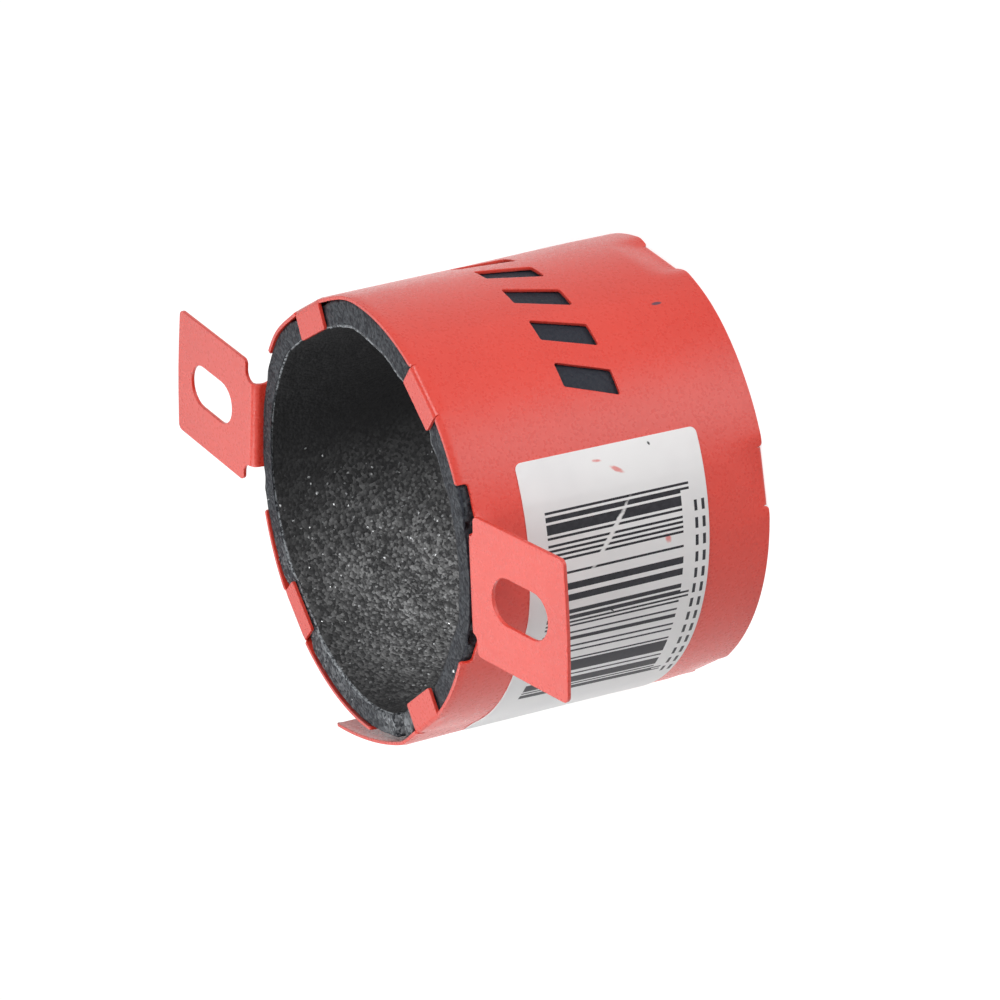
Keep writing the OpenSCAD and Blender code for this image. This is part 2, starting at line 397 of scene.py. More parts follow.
class Strip:
    """A tab or an ear: a strip that grows out of a rim, flattens, and folds inwards or outwards."""

    def __init__(self, angle, end, width, widest, bend, outwards, lean, root, fold):
        self.angle = math.radians(angle)
        self.way = way_of(angle)
        self.end = end
        self.rim_z = FRONT_Z if end > 0 else REAR_Z
        self.half = width / 2
        self.reach = widest / 2
        # A neck eases into the wall beside it, and a tab's edges lie on the round
        self.out = flat_r(width) if outwards else SLEEVE_R * math.cos(self.half / SLEEVE_R)
        self.ease = EASE if outwards else SLIT_W
        self.bend = bend
        self.outwards = outwards
        self.turn = math.radians(90 - lean)
        self.root = root
        self.fold = fold
        self.pull = pull_of(self.angle, self.rim_z)
        # The upper side of the flat sheet ends up outside an inward fold and inside an outward one
        self.arc_r = bend if outwards else bend + SHEET
        self.flat_from = fold + self.arc_r * self.turn

    def bent(self, way, up, depth):
        """Distance from the axis, sideways place and height past the rim of points on the strip."""
        aside = way - self.way
        rise = smooth((up - self.root) / (self.fold - self.root))
        flatness = rise * smooth((self.half + self.ease - np.abs(aside)) / self.ease)
        strip_out = self.out - self.pull
        pull = wall_in(self.angle + aside / SLEEVE_R, self.rim_z + self.end * up)
        radius = SLEEVE_R - pull - depth
        out = radius * np.cos(aside / SLEEVE_R)
        side = radius * np.sin(aside / SLEEVE_R)
        out += flatness * (strip_out - depth - out)
        side += flatness * (aside - side)
        past = up - self.fold
        angle = np.clip(past / self.arc_r, 0, self.turn)
        run = np.maximum(past - self.arc_r * self.turn, 0)
        if self.outwards:
            arc = self.bend + depth
            fold_out = strip_out + self.bend - arc * np.cos(angle) + run * math.sin(self.turn)
        else:
            arc = self.bend + SHEET - depth
            fold_out = strip_out - SHEET - self.bend + arc * np.cos(angle) - run * math.sin(self.turn)
        fold_up = self.fold + arc * np.sin(angle) + run * math.cos(self.turn)
        folded = (past > 0) & (np.abs(aside) < self.reach)
        return (np.where(folded, fold_out, out), np.where(folded, aside, side),
                np.where(folded, fold_up, up))

    def grid(self, tip):
        """Points that follow the strip from its root to its tip."""
        step, root_step, fold_steps = 0.8, 0.35, 11
        aside = np.linspace(-self.half, self.half, math.ceil(self.half * 2 / step) + 1)
        ups = [np.arange(self.root, self.fold, root_step)]
        ups.append(self.fold + self.arc_r * np.linspace(0, self.turn, fold_steps))
        ups.append(np.arange(self.flat_from + step / 2, tip, step))
        aside, up = np.meshgrid(aside, np.concatenate(ups))
        return np.stack((self.way + aside.ravel(), self.rim_z + self.end * up.ravel()), 1)


def tabs_and_ears():
    """The strips of both rims: the tabs, front ones first, and the ears."""
    notch_margin = 0.6
    tab = (TAB_W, TAB_W + SLIT_W, TAB_BEND, False, 0, -SLIT_DEPTH - TAB_ROOT, -TAB_BEND - SHEET)
    tabs = []
    for end, row in ((1, FRONT_TABS), (-1, [(angle, 0.0) for angle in REAR_TABS])):
        for angle, longer in row:
            strip = Strip(angle, end, *tab)
            strip.tip = strip.flat_from + strip.out - SHEET - TAB_BEND - BORE_R - TAB_TIP_GAP + longer
            if end < 0:
                # The wall round a rear tab is drawn in with it
                strip.out -= REAR_TAB_DENT
                strip.ease = EASE
                strip.root = -REAR_DENT_LEN
            tabs.append(strip)
    ears = []
    for angle, lean, rise, neck_out, slant in EARS:
        fold = rise - NOTCH_DEPTH
        widest = NOTCH_W - notch_margin
        ear = Strip(angle, 1, NECK_W, widest, EAR_BEND, True, lean, fold - NECK_ROOT, fold)
        ear.inner = ear.flat_from + SLEEVE_R + neck_out - ear.out - EAR_BEND
        ear.slant = slant / EAR_LEN
        ears.append(ear)
    return tabs, ears


TABS, SLEEVE_EARS = tabs_and_ears()


def rolled_and_folded(flat, depth):
    """Places of points of the sleeve's flat sheet, at a depth under its outer side."""
    way, height = flat[:, 0], flat[:, 1]
    angle = LAP_ANGLE + np.maximum(way, 0) / SLEEVE_R
    straight = np.minimum(way, 0)
    radius = SLEEVE_R - wall_in(angle, height) + tail_bow(way, height) - depth
    x = radius * np.cos(angle) - straight * math.sin(LAP_ANGLE)
    y = radius * np.sin(angle) + straight * math.cos(LAP_ANGLE)
    z = height.copy()
    for strip in TABS + SLEEVE_EARS:
        up = strip.end * (height - strip.rim_z)
        near = np.abs(way - strip.way) < max(strip.half + STRIP_MARGIN, strip.reach)
        near &= up > strip.root
        out, side, up = strip.bent(way[near], up[near], depth[near])
        x[near] = out * math.cos(strip.angle) - side * math.sin(strip.angle)
        y[near] = out * math.sin(strip.angle) + side * math.cos(strip.angle)
        z[near] = strip.rim_z + strip.end * up
    return np.stack((x, y, z), 1)


def both_sides(right):
    """The corners (aside, up, radius) on the left, which mirror those on the right, and the right ones."""
    return [(-aside, up, radius) for aside, up, radius in reversed(right)], right


def tab_corners(strip):
    """One tab and the slits beside it, from the slit on its left to the one on its right."""
    tip_corner, wall_corner, relief = 0.35, 0.6, SLIT_W / 2 * ROUND_END
    half, outer = strip.half, strip.half + SLIT_W
    left, right = both_sides([(half, strip.tip, tip_corner), (half, -SLIT_DEPTH, relief),
                              (outer, -SLIT_DEPTH, relief), (outer, 0, wall_corner)])
    return [(strip.way + aside, strip.rim_z + strip.end * up, radius) for aside, up, radius in left + right]


def ear_corners(strip):
    """One ear, its neck and its notch, from the left to the right."""
    tip_corner, plate_corner, notch_foot, notch_top = 0.9, 0.8, 0.5, 0.4
    crown_r = 90
    inner = strip.inner
    neck_len = inner + NOTCH_DEPTH
    relief, foot = min(RELIEF_R, 0.5 * neck_len), min(FOOT_R, 0.42 * neck_len)
    tip = inner + EAR_LEN - EAR_CROWN / 2
    left, right = both_sides([(EAR_W / 2, tip, tip_corner), (EAR_W / 2, inner, plate_corner),
                              (NECK_W / 2, inner, relief), (NECK_W / 2, -NOTCH_DEPTH, foot),
                              (NOTCH_W / 2, -NOTCH_DEPTH, notch_foot), (NOTCH_W / 2, 0, notch_top)])
    crown = (0, tip + EAR_CROWN, crown_r)
    return [(strip.way + aside + strip.slant * max(up - inner, 0), strip.rim_z + up, radius)
            for aside, up, radius in left + [crown] + right]


def sleeve_outlines():
    """The punched sheet: its outline, anticlockwise, then its holes, clockwise."""
    step = 0.6
    lap_corner = 0.4
    corners = [(-TAIL_LEN, REAR_Z, lap_corner)]
    for strip in sorted((s for s in TABS if s.end < 0), key=lambda s: s.way):
        corners += tab_corners(strip)
    corners += [(WALL_END, REAR_Z, lap_corner), (WALL_END, FRONT_Z, lap_corner)]
    front = [s for s in TABS if s.end > 0] + SLEEVE_EARS
    for strip in sorted(front, key=lambda s: -s.way):
        corners += reversed(ear_corners(strip) if strip.outwards else tab_corners(strip))
    corners.append((-TAIL_LEN, FRONT_Z, lap_corner))
    loops = [spaced(rounded(corners), step)]
    for i in range(CUT_COUNT):
        middle = way_of(90 + (i - (CUT_COUNT - 1) / 2) * CUT_PITCH)
        cut = [(-CUT_W - CUT_SLANT, -CUT_LEN), (CUT_SLANT - CUT_W, CUT_LEN),
               (CUT_W + CUT_SLANT, CUT_LEN), (CUT_W - CUT_SLANT, -CUT_LEN)]
        cut = [(middle + x / 2, CUT_Z + y / 2, CUT_CORNER) for x, y in cut]
        loops.append(spaced(rounded(cut), step))
    half_l, half_w = SLOT_LEN / 2, SLOT_W / 2
    for strip in SLEEVE_EARS:
        slot = []
        for aside, along in ((-half_w, -half_l), (-half_w, half_l), (half_w, half_l), (half_w, -half_l)):
            along += SLOT_FROM_EDGE
            way = strip.way + aside + strip.slant * along
            slot.append((way, strip.rim_z + strip.inner + along, half_w * ROUND_END))
        loops.append(spaced(rounded(slot), step))
    return loops


def sleeve_grid():
    """Points inside the sheet: a staggered net over the wall, finer rows under the front rim, and rows along
    the strips."""
    step, row_share = 1.1, 0.87
    rim_step, rim_rows = 0.7, (0.42, 0.66, 0.9)
    ear_step, slant_room, margin = 0.8, 1.5, 0.3
    net = []
    for k, height in enumerate(np.arange(REAR_Z + step / 2, FRONT_Z, step * row_share)):
        ways = np.arange(-TAIL_LEN + step * (0.5 + 0.5 * (k % 2)), WALL_END, step)
        net.append(np.stack((ways, np.full(len(ways), height)), 1))
    for below in rim_rows:
        ways = np.arange(-TAIL_LEN, WALL_END, rim_step) + below
        net.append(np.stack((ways, np.full(len(ways), FRONT_Z - below)), 1))
    net = np.concatenate(net)
    for strip in TABS + SLEEVE_EARS:
        up = strip.end * (net[:, 1] - strip.rim_z)
        beside = np.abs(net[:, 0] - strip.way) > strip.half + margin
        net = net[beside | (up < strip.root - margin)]
    strips = [strip.grid(strip.tip) for strip in TABS]
    for strip in SLEEVE_EARS:
        tip = strip.inner + EAR_LEN
        side = np.arange(NECK_W / 2 + ear_step, EAR_W / 2 + slant_room, ear_step)
        aside, up = np.meshgrid(np.concatenate((-side, side)), np.arange(strip.inner, tip, ear_step))
        strips.append(strip.grid(tip))
        strips.append(np.stack((strip.way + aside.ravel(), strip.rim_z + up.ravel()), 1))
    return np.concatenate([net] + strips)


def make_sleeve():
    """The rolled and folded sheet."""
    piece = sheet_mesh("red_sleeve", sleeve_outlines(), sleeve_grid(), rolled_and_folded, SHEET, EDGE_R)
    keep_inside(piece.data)
    return piece


def keep_inside(mesh):
    """Stores which points lie on the inner side of the rolled wall and of the tail, the ears left out, for
    the coat's painted shade there.
    """
    wall_margin, neck_margin = 1, 1.5
    tail_share, tail_below = 0.85, 25
    x, y, z = places_in(mesh).T
    depth = np.zeros(len(mesh.vertices), np.float32)
    mesh.attributes["depth"].data.foreach_get("value", depth)
    radius = np.hypot(x, y) / MM
    wall = smooth(SLEEVE_R + wall_margin - radius) * smooth(FRONT_Z - NOTCH_DEPTH - neck_margin - z / MM)
    tail = tail_share * smooth(-y / MM - tail_below)
    keep_values(mesh, "inside", depth * np.maximum(wall, tail))


sleeve = make_sleeve()
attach(sleeve, "root")
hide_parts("sleeve")


# The label, glued round the sleeve

def glued_on(flat, depth):
    """Places of points of the flat label, at a depth under its printed side."""
    way, height = flat[:, 0], flat[:, 1]
    angle = LAP_ANGLE + way / SLEEVE_R
    radius = SLEEVE_R + LABEL_GLUE + LABEL_T - wall_in(angle, height) - depth
    return np.stack((radius * np.cos(angle), radius * np.sin(angle), height), 1)


def make_label():
    """The printed label, with a map of lengths for its print."""
    step = 1.0
    upper = way_of(LABEL_FROM)
    lower = upper - LABEL_L
    low, high = LABEL_LOW.z, LABEL_HIGH.z
    corners = [(lower, low), (upper, low), (upper, high), (lower, high)]
    outline = spaced(rounded([(way, height, LABEL_CORNER) for way, height in corners]), step)
    ways, heights = np.meshgrid(np.arange(lower + step, upper, step), np.arange(low + step, high, step))
    net = np.stack((ways.ravel(), heights.ravel()), 1)
    piece = sheet_mesh("striped_label", [outline], net, glued_on, LABEL_T, LABEL_T / 3)
    x, y, z = places_in(piece.data).T
    way = SLEEVE_R * (np.arctan2(y, x) - LAP_ANGLE)
    # U runs down from the label's upper edge, V back from its front edge
    keep_map(piece.data, "print_map", np.stack((upper - way, high - z / MM), 1))
    return piece


def keep_map(mesh, name, values):
    """Stores a UV map of lengths, given for each vertex, in metres."""
    layer = mesh.uv_layers.new(name=name)
    corner = np.zeros(len(mesh.loops), np.int32)
    mesh.loops.foreach_get("vertex_index", corner)
    layer.data.foreach_set("uv", (values[corner] * MM).astype(np.float32).ravel())


# The liner, a pebbled ring

def liner_section():
    """The ring's section as a closed row of (radius, height, bore, front): up the bore, out over the front
    face, down the outside and back in under the rear face. Bore and front say how far a point belongs to the
    bore and to the front face, for its lumps and its tone."""
    soft = 0.25
    bore_rows, face_rows, worn_rows, rear_rows = 104, 10, 9, 8
    worn_len, worn_from, worn_ease = 6, 4.5, 2
    back_r, low, high = LINER_R, 0.0, LINER_TOP
    inner, outer = BORE_R + soft, back_r - soft
    bottom, top = low + soft, high - soft
    turns = [math.radians(a) for a in (22.5, 45, 67.5)]
    rows = [(BORE_R, z, 1, 0) for z in np.linspace(bottom, top, bore_rows)]
    rows += [(inner - soft * math.cos(a), top + soft * math.sin(a), 1, 1) for a in turns]
    rows += [(r, high, 0.3, 1) for r in np.linspace(inner, outer, face_rows)]
    rows += [(outer + soft * math.sin(a), top + soft * math.cos(a), 0, 0.5) for a in turns]
    for z in np.linspace(top, high - worn_len, worn_rows):
        rows.append((back_r, z, 0, 0.9 * smooth((z - high + worn_from) / worn_ease)))
    rows += [(back_r, z, 0, 0) for z in (30, 15, bottom)]
    rows += [(outer + soft * math.cos(a), bottom - soft * math.sin(a), 0, 0) for a in turns]
    rows += [(r, low, 0, 0) for r in np.linspace(outer, inner, rear_rows)]
    rows += [(inner - soft * math.sin(a), bottom - soft * math.cos(a), 1, 0) for a in turns]
    return np.array(rows)


def aside_of(strip, angle):
    """Length round the sleeve between a strip's middle and an angle."""
    return np.abs((angle - strip.angle + math.pi) % (2 * math.pi) - math.pi) * SLEEVE_R


def standing_proud(angle):
    """How far the ring's front face rises between the tabs, which press it down."""
    spread = 2.5
    rise = np.full(angle.shape, FACE_RISE)
    for strip in TABS:
        if strip.end > 0:
            rise = rise * smooth((aside_of(strip, angle) - strip.half) / spread)
    return rise


def grains_and_painted_light(angle, height):
    """How pebbled the bore is, which is also where its light is painted: smooth and dark at its top and
    front, and pebbled and painted pale as lit low down and deep inside.
    """
    top, start, thin, end = 60, 172, 290, 400
    start_span, thin_span, end_span = 55, 45, 60
    thin_share, front_share, front_len = 0.4, 0.3, 16
    turn = (np.degrees(angle) - top) % 360 + top
    starts = smooth((turn - start) / start_span)
    thins = thin_share + (1 - thin_share) * smooth((thin - turn) / thin_span)
    ends = smooth((end - turn) / end_span)
    deepens = front_share + (1 - front_share) * smooth((LINER_TOP + 1 - height) / front_len)
    return starts * thins * ends * deepens


def make_liner():
    """The pressed ring, with its lumps, its swells and its crumbled joint."""
    columns = 408
    bore_lumps, face_lumps, crumb_lumps = 0.4, 0.2, 3
    lump_sizes = ((0.5, 1.6), (0.3, 0.8), (0.2, 0.45))
    ragged, rag_size, worn_len, crumbly_len = 1.3, 1.1, 8, 8
    section = liner_section()
    count = len(section)
    radius, height, bore, front = (np.repeat(section[None, :, k], columns, 0) for k in range(4))
    share = np.repeat(np.linspace(0, 1, columns)[:, None], count, 1)

    # The two ends are crumbled, most of all at the front
    spots = np.stack((section[:, 0], section[:, 1], np.zeros(count)), 1)
    wear = 0.25 + 0.75 * smooth((section[:, 1] - LINER_TOP + worn_len) / worn_len)
    crumbled = [ragged * wear * grain(spots, rag_size, SEED + end) for end in (1, 2)]
    first = JOINT_ANGLE + (JOINT_OPEN / 2 + crumbled[0]) / BORE_R
    last = JOINT_ANGLE + 2 * math.pi - (JOINT_OPEN / 2 + crumbled[1]) / BORE_R
    angle = first + share * (last - first)

    places = np.stack((radius * np.cos(angle), radius * np.sin(angle), height), 2).reshape(-1, 3)
    lumps = sum(part * grain(places, size, SEED + 3 + k) for k, (part, size) in enumerate(lump_sizes))
    lumps = lumps.reshape(columns, count)
    crumbly = smooth(1 - np.minimum(angle - first, last - angle) * BORE_R / crumbly_len)
    swell = np.minimum(bore, 1) * humps(np.degrees(angle) % 360, SWELLS)
    radius = radius + bore * bore_lumps * lumps - swell
    height = height - front * face_lumps * (1 + crumb_lumps * crumbly) * lumps
    height = height + np.minimum(front, 1) * standing_proud(angle)

    # Room for the flat strips of the ears' necks and the tabs
    room_depth, room_along, room_ease = 0.5, 6, 3
    for strip in TABS + SLEEVE_EARS:
        beside = smooth((strip.half + STRIP_MARGIN - aside_of(strip, angle)) / room_ease)
        room = beside * smooth((room_along - np.abs(height - strip.rim_z)) / room_ease)
        radius = np.minimum(radius, LINER_R - room_depth * room)
    radius = radius - pull_of(angle, height)
    places = np.stack((radius * np.cos(angle), radius * np.sin(angle), height), 2).reshape(-1, 3)

    index = np.arange(columns * count).reshape(columns, count)
    here, there = index[:-1], index[1:]
    faces = np.stack((here, np.roll(here, -1, 1), np.roll(there, -1, 1), there), 2).reshape(-1, 4).tolist()
    faces.append(index[0][::-1].tolist())
    faces.append(index[-1].tolist())
    mesh = bpy.data.meshes.new("graphite_liner")
    mesh.from_pydata((places * MM).tolist(), [], faces)
    # Where the bore is pebbled and painted pale as lit; the flakes gather there as well
    grains = grains_and_painted_light(angle, height)
    keep_values(mesh, "bore", bore.ravel())
    keep_values(mesh, "front", front.ravel())
    keep_values(mesh, "grains", grains.ravel())
    keep_values(mesh, "crumbs", crumbly.ravel())
    keep_values(mesh, "glints", (bore * grains ** 1.3).ravel())
    mesh.shade_smooth()
    return add_object("graphite_liner", mesh)


# Materials

class Finish:
    """A material whose shader nodes are added in short lines."""

    def __init__(self, name):
        self.material = bpy.data.materials.new(name)
        self.material.use_nodes = True
        self.tree = self.material.node_tree
        self.shader = self.tree.nodes["Principled BSDF"]
        self.object_coords = self.tree.nodes.new("ShaderNodeTexCoord").outputs["Object"]

    def add(self, kind, *values, **settings):
        """A node with its inputs set or linked in order; gives its first output."""
        node = self.tree.nodes.new("ShaderNode" + kind)
        for name, value in settings.items():
            setattr(node, name, value)
        for socket, value in zip([s for s in node.inputs if s.enabled], values):
            self.put(socket, value)
        return next(s for s in node.outputs if s.enabled)

    def put(self, socket, value):
        """Links an output to a socket or sets a value on it; None leaves it alone."""
        if value is None:
            return
        if isinstance(value, bpy.types.NodeSocket):
            self.tree.links.new(value, socket)
        else:
            socket.default_value = value

    def set(self, **values):
        """Puts values on the shader's own sockets."""
        for name, value in values.items():
            self.put(self.shader.inputs[name.replace("_", " ")], value)

    def math(self, operation, *values):
        return self.add("Math", *values, operation=operation)

    def mix(self, share, first, second):
        """The first colour, with a share of the second."""
        node = self.tree.nodes.new("ShaderNodeMix")
        node.data_type = "RGBA"
        colours = [s for s in node.inputs if s.type == "RGBA"]
        self.put(node.inputs["Factor"], share)
        self.put(colours[0], first)
        self.put(colours[1], second)
        return next(s for s in node.outputs if s.type == "RGBA")

    def noise(self, size, detail=2.0, roughness=0.5):
        """Noise whose lumps are about as large as the size, in millimetres."""
        node = self.tree.nodes.new("ShaderNodeTexNoise")
        node.inputs["Scale"].default_value = 0.5 / (size * MM)
        node.inputs["Detail"].default_value = detail
        node.inputs["Roughness"].default_value = roughness
        self.put(node.inputs["Vector"], self.object_coords)
        return node.outputs["Fac"]

    def cells(self, size):
        """Pebbles of about the size, in millimetres: how high each one's dome is, and its random number."""
        node = self.tree.nodes.new("ShaderNodeTexVoronoi")
        node.inputs["Scale"].default_value = 1 / (size * MM)
        self.put(node.inputs["Vector"], self.object_coords)
        from_middle = node.outputs["Distance"]
        domes = self.math("SUBTRACT", 1.0, self.math("MULTIPLY", from_middle, from_middle))
        return domes, self.add("SeparateColor", node.outputs["Color"])

    def ramp(self, value, low, high):
        """The value taken from its low to its high end, as 0 to 1, smoothly."""
        return self.add("MapRange", value, low, high, 0.0, 1.0, interpolation_type="SMOOTHSTEP")

    def uv(self, name):
        node = self.tree.nodes.new("ShaderNodeUVMap")
        node.uv_map = name
        return node.outputs["UV"]

    def attribute(self, name):
        node = self.tree.nodes.new("ShaderNodeAttribute")
        node.attribute_name = name
        return node.outputs["Fac"]

    def bump(self, height, distance, strength=1.0, under=None):
        """A normal for a height that counts in the distance, in millimetres, over the normal under it."""
        node = self.tree.nodes.new("ShaderNodeBump")
        node.inputs["Strength"].default_value = strength
        node.inputs["Distance"].default_value = distance * MM
        self.put(node.inputs["Height"], height)
        self.put(node.inputs["Normal"], under)
        return node.outputs["Normal"]


def red_powder_coat():
    """Satin red powder coat with a fine orange peel, paler on the cut edges, and darker inside the sleeve as
    painted shade, with grey dust there.
    """
    finish = Finish("red_powder_coat")
    domes, tint = finish.cells(0.34)
    clouds = finish.noise(9.0, 3.0)
    dust = finish.noise(1.6, 4.0, 0.6)
    coat = finish.mix(finish.ramp(clouds, 0.3, 0.7), (0.66, 0.038, 0.021, 1), (0.72, 0.046, 0.026, 1))
    coat = finish.mix(finish.math("MULTIPLY", tint, 0.12), coat, (0.8, 0.16, 0.13, 1))
    # Inside the sleeve the red is darkened as painted shade, and greyed in patches by dust
    inside = finish.mix(finish.ramp(dust, 0.4, 0.7), (0.40, 0.030, 0.025, 1), (0.38, 0.095, 0.085, 1))
    coat = finish.mix(finish.ramp(finish.attribute("inside"), 0.45, 0.95), coat, inside)
    edge = finish.math("MULTIPLY", finish.attribute("rim"), 0.3)
    coat = finish.mix(edge, coat, (0.66, 0.06, 0.045, 1))
    coat = finish.mix(coat_scratch(finish, dust), coat, (0.03, 0.03, 0.06, 1))
    finish.set(Base_Color=coat, Specular_IOR_Level=0.5, Coat_Weight=0.1, Coat_Roughness=0.3)
    finish.set(Roughness=finish.add("MapRange", tint, 0.0, 1.0, 0.25, 0.37))
    finish.set(Normal=finish.bump(domes, 0.03, 0.5))
    return finish.material


def coat_scratch(finish, dust):
    """How much of the coat the scratch hides, with edges frayed by the dust."""
    radius = SLEEVE_R - float(wall_in(SCRATCH_ANGLE, SCRATCH_Z))
    middle = (radius * math.cos(SCRATCH_ANGLE), radius * math.sin(SCRATCH_ANGLE), SCRATCH_Z)
    away = finish.add("VectorMath", finish.object_coords, [c * MM for c in middle], operation="SUBTRACT")
    away = finish.add("VectorMath", away, [1 / (c * MM) for c in SCRATCH_HALF], operation="MULTIPLY")
    far = finish.add("VectorMath", away, operation="LENGTH")
    frayed = finish.math("ADD", far, finish.math("MULTIPLY", dust, 0.8))
    return finish.math("MULTIPLY", finish.ramp(frayed, 1.4, 1.0), 0.9)


def graphite_felt():
    """Pressed graphite: smooth and nearly black at the bore's top and front, pebbled and painted pale as lit
    low down and deep inside, dark on the end face and paler on it beside the bore's painted light and at the
    crumbled joint, with flecks along its brim, and dark on the outside."""
    finish = Finish("graphite_felt")
    front, bore_side = finish.attribute("front"), finish.attribute("bore")
    grains_and_painted_light_share = finish.attribute("grains")
    grit = finish.noise(0.22, 2.0, 0.6)
    patches = finish.noise(3.5, 2.0)
    domes, pebble = finish.cells(0.42)
    bright = finish.math("POWER", pebble, 1.8)
    # The plain dark tone stays at the bore's top and front, and the pale pebbles low down and deep inside are
    # painted light
    plain = finish.mix(finish.ramp(grit, 0.35, 0.7), (0.018, 0.018, 0.019, 1), (0.03, 0.03, 0.031, 1))
    grains = finish.mix(bright, (0.075, 0.075, 0.077, 1), (0.48, 0.482, 0.486, 1))
    grains = finish.mix(finish.ramp(patches, 0.35, 0.6), finish.mix(0.35, grains, plain), grains)
    bore = finish.mix(grains_and_painted_light_share, plain, grains)
    face = finish.mix(bright, (0.007, 0.008, 0.012, 1), (0.055, 0.061, 0.069, 1))
    worn_and_painted_lit = finish.mix(bright, (0.02, 0.023, 0.028, 1), (0.3, 0.315, 0.33, 1))
    # The face is painted paler beside the bore's painted light, and is paler from wear where it crumbles at
    # the joint
    wear = finish.math("MAXIMUM", finish.ramp(grains_and_painted_light_share, 0.1, 0.5), finish.attribute("crumbs"))
    face = finish.mix(wear, face, worn_and_painted_lit)
    tone = finish.mix(finish.ramp(bore_side, 0.3, 0.8), (0.02, 0.023, 0.032, 1), bore)
    tone = finish.mix(finish.ramp(front, 0.35, 0.9), tone, face)
    brim = finish.ramp(finish.math("MULTIPLY", front, bore_side), 0.4, 0.9)
    flecks = finish.math("MULTIPLY", brim, finish.ramp(grit, 0.40, 0.58))
    tone = finish.mix(flecks, tone, (0.34, 0.36, 0.38, 1))
    finish.set(Base_Color=tone, Specular_IOR_Level=0.2)
    finish.set(Roughness=finish.add("MapRange", grit, 0.35, 0.65, 0.45, 0.75))
    depth = finish.math("ADD", finish.math("MULTIPLY", grains_and_painted_light_share, 0.75), 0.25)
    pebbled = finish.bump(finish.math("MULTIPLY", domes, depth), 0.3, 1.0)
    finish.set(Normal=finish.bump(grit, 0.12, 0.6, pebbled))
    return finish.material


def graphite_glint():
    """Bright faces of single graphite flakes."""
    finish = Finish("graphite_glint")
    shade = finish.ramp(finish.noise(0.9, 1.0), 0.35, 0.7)
    finish.set(Base_Color=finish.mix(shade, (0.08, 0.082, 0.086, 1), (0.62, 0.63, 0.64, 1)))
    finish.set(Metallic=0.6, Roughness=finish.add("MapRange", shade, 0.0, 1.0, 0.45, 0.25))
    return finish.material


